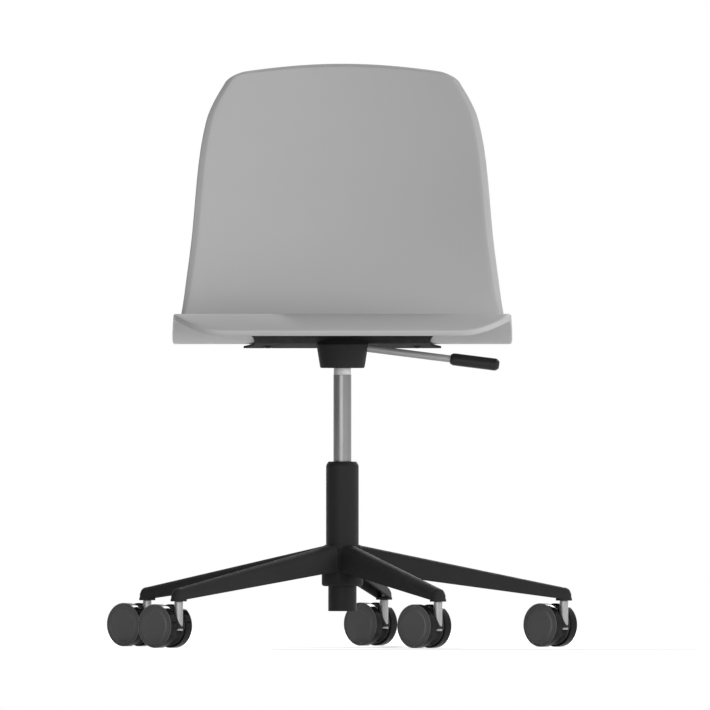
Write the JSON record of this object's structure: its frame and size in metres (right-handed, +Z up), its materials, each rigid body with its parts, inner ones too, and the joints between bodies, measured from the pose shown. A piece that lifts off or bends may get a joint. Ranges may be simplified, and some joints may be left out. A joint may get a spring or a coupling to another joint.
{
  "type": "swivel chair",
  "caption": "Armless swivel chair: one-piece grey moulded seat and back on a gas lift with a height lever, over a black star base on twin-wheel casters.",
  "frame": {"origin": "on the floor, at the middle of the casters' footprint as they stand in the picture; the column's axis is about 30 mm nearer the front", "axes": "+Z up, the sitter faces -Y, the height lever points to +X"},
  "size_m": [0.7068, 0.7112, 0.8784],
  "materials": {
    "shell": "satin grey moulding",
    "plate_paint": "satin black powder coat",
    "black_nylon": "satin black moulding",
    "lever_chrome": "bright plated",
    "grip": "satin black",
    "chrome": "polished",
    "steel": "zinc plated",
    "brass": "plain",
    "guide": "plain nylon",
    "bumper": "matt",
    "wheel": "satin dark grey",
    "tyre": "glossy black"
  },
  "bodies": {
    "base": {"star_base": "black_nylon", "column_tube": "plate_paint", "guide_bush": "guide", "bearing_lower_race": "steel"},
    "spindle": {"piston_rod": "steel", "piston": "brass", "bearing_upper_race": "steel", "bump_stop": "bumper", "retaining_clip": "steel"},
    "ball_cage": {"bearing_cage": "brass"},
    "seat": {"seat_shell": "shell", "seat_plate": "plate_paint", "plate_screw_1": "steel", "plate_screw_2": "steel", "plate_screw_3": "steel", "plate_screw_4": "steel", "mechanism_housing": "black_nylon", "taper_bush": "steel", "lever_pivot_pin": "steel", "gas_cylinder": "chrome", "cylinder_gland": "steel"},
    "lever": {"lever_rod": "lever_chrome", "lever_grip": "grip"},
    "valve": {"valve_pin": "steel"},
    "caster_1": {"caster_1_stem": "steel", "caster_1_housing": "black_nylon", "caster_1_axle": "steel"},
    "caster_1_left": {"caster_1_wheel_left": "wheel", "caster_1_tyre_left": "tyre"},
    "caster_1_right": {"caster_1_wheel_right": "wheel", "caster_1_tyre_right": "tyre"},
    "caster_2": {"caster_2_stem": "steel", "caster_2_housing": "black_nylon", "caster_2_axle": "steel"},
    "caster_2_left": {"caster_2_wheel_left": "wheel", "caster_2_tyre_left": "tyre"},
    "caster_2_right": {"caster_2_wheel_right": "wheel", "caster_2_tyre_right": "tyre"},
    "caster_3": {"caster_3_stem": "steel", "caster_3_housing": "black_nylon", "caster_3_axle": "steel"},
    "caster_3_left": {"caster_3_wheel_left": "wheel", "caster_3_tyre_left": "tyre"},
    "caster_3_right": {"caster_3_wheel_right": "wheel", "caster_3_tyre_right": "tyre"},
    "caster_4": {"caster_4_stem": "steel", "caster_4_housing": "black_nylon", "caster_4_axle": "steel"},
    "caster_4_left": {"caster_4_wheel_left": "wheel", "caster_4_tyre_left": "tyre"},
    "caster_4_right": {"caster_4_wheel_right": "wheel", "caster_4_tyre_right": "tyre"},
    "caster_5": {"caster_5_stem": "steel", "caster_5_housing": "black_nylon", "caster_5_axle": "steel"},
    "caster_5_left": {"caster_5_wheel_left": "wheel", "caster_5_tyre_left": "tyre"},
    "caster_5_right": {"caster_5_wheel_right": "wheel", "caster_5_tyre_right": "tyre"}
  },
  "joints": [
    {"name": "seat_swivel", "type": "hinge", "parent": "base", "child": "spindle", "pos_m": [0.00098, -0.03007, 0.07], "axis": [0, 0, 1], "continuous": true},
    {"name": "cage_spin", "type": "hinge", "parent": "base", "child": "ball_cage", "pos_m": [0.00098, -0.03007, 0.07], "axis": [0, 0, 1], "continuous": true},
    {"name": "height_lift", "type": "slide", "parent": "spindle", "child": "seat", "axis": [0, 0, 1], "range_m": [-0.105, 0.012]},
    {"name": "lever_hinge", "type": "hinge", "parent": "seat", "child": "lever", "pos_m": [0.02698, -0.03007, 0.4489], "axis": [0, -1, 0], "range_deg": [0, 5], "stiffness_Nm_per_rad": 4},
    {"name": "valve_press", "type": "slide", "parent": "seat", "child": "valve", "axis": [0, 0, -1], "range_m": [0, 0.0025]},
    {"name": "caster_1_swivel", "type": "hinge", "parent": "base", "child": "caster_1", "pos_m": [0.33334, 0.01191, 0.07], "axis": [0, 0, 1], "continuous": true},
    {"name": "caster_1_left_roll", "type": "hinge", "parent": "caster_1", "child": "caster_1_left", "pos_m": [0.31296, 0.02901, 0.03259], "axis": [0.6428, 0.766, 0], "continuous": true},
    {"name": "caster_1_right_roll", "type": "hinge", "parent": "caster_1", "child": "caster_1_right", "pos_m": [0.31296, 0.02901, 0.03259], "axis": [0.6428, 0.766, 0], "continuous": true},
    {"name": "caster_2_swivel", "type": "hinge", "parent": "base", "child": "caster_2", "pos_m": [0.06375, 0.29899, 0.07], "axis": [0, 0, 1], "continuous": true},
    {"name": "caster_2_left_roll", "type": "hinge", "parent": "caster_2", "child": "caster_2_left", "pos_m": [0.04337, 0.31609, 0.03259], "axis": [0.6428, 0.766, 0], "continuous": true},
    {"name": "caster_2_right_roll", "type": "hinge", "parent": "caster_2", "child": "caster_2_right", "pos_m": [0.04337, 0.31609, 0.03259], "axis": [0.6428, 0.766, 0], "continuous": true},
    {"name": "caster_3_swivel", "type": "hinge", "parent": "base", "child": "caster_3", "pos_m": [-0.29258, 0.13131, 0.07], "axis": [0, 0, 1], "continuous": true},
    {"name": "caster_3_left_roll", "type": "hinge", "parent": "caster_3", "child": "caster_3_left", "pos_m": [-0.31296, 0.14841, 0.03259], "axis": [0.6428, 0.766, 0], "continuous": true},
    {"name": "caster_3_right_roll", "type": "hinge", "parent": "caster_3", "child": "caster_3_right", "pos_m": [-0.31296, 0.14841, 0.03259], "axis": [0.6428, 0.766, 0], "continuous": true},
    {"name": "caster_4_swivel", "type": "hinge", "parent": "base", "child": "caster_4", "pos_m": [-0.24323, -0.2594, 0.07], "axis": [0, 0, 1], "continuous": true},
    {"name": "caster_4_left_roll", "type": "hinge", "parent": "caster_4", "child": "caster_4_left", "pos_m": [-0.2636, -0.2423, 0.03259], "axis": [0.6428, 0.766, 0], "continuous": true},
    {"name": "caster_4_right_roll", "type": "hinge", "parent": "caster_4", "child": "caster_4_right", "pos_m": [-0.2636, -0.2423, 0.03259], "axis": [0.6428, 0.766, 0], "continuous": true},
    {"name": "caster_5_swivel", "type": "hinge", "parent": "base", "child": "caster_5", "pos_m": [0.14361, -0.33319, 0.07], "axis": [0, 0, 1], "continuous": true},
    {"name": "caster_5_left_roll", "type": "hinge", "parent": "caster_5", "child": "caster_5_left", "pos_m": [0.12324, -0.31609, 0.03259], "axis": [0.6428, 0.766, 0], "continuous": true},
    {"name": "caster_5_right_roll", "type": "hinge", "parent": "caster_5", "child": "caster_5_right", "pos_m": [0.12324, -0.31609, 0.03259], "axis": [0.6428, 0.766, 0], "continuous": true}
  ],
  "couplings": [
    {"joint": "valve_press", "follows": "lever_hinge", "m_per_rad": 0.0265},
    {"joint": "cage_spin", "follows": "seat_swivel", "ratio": 0.5}
  ]
}
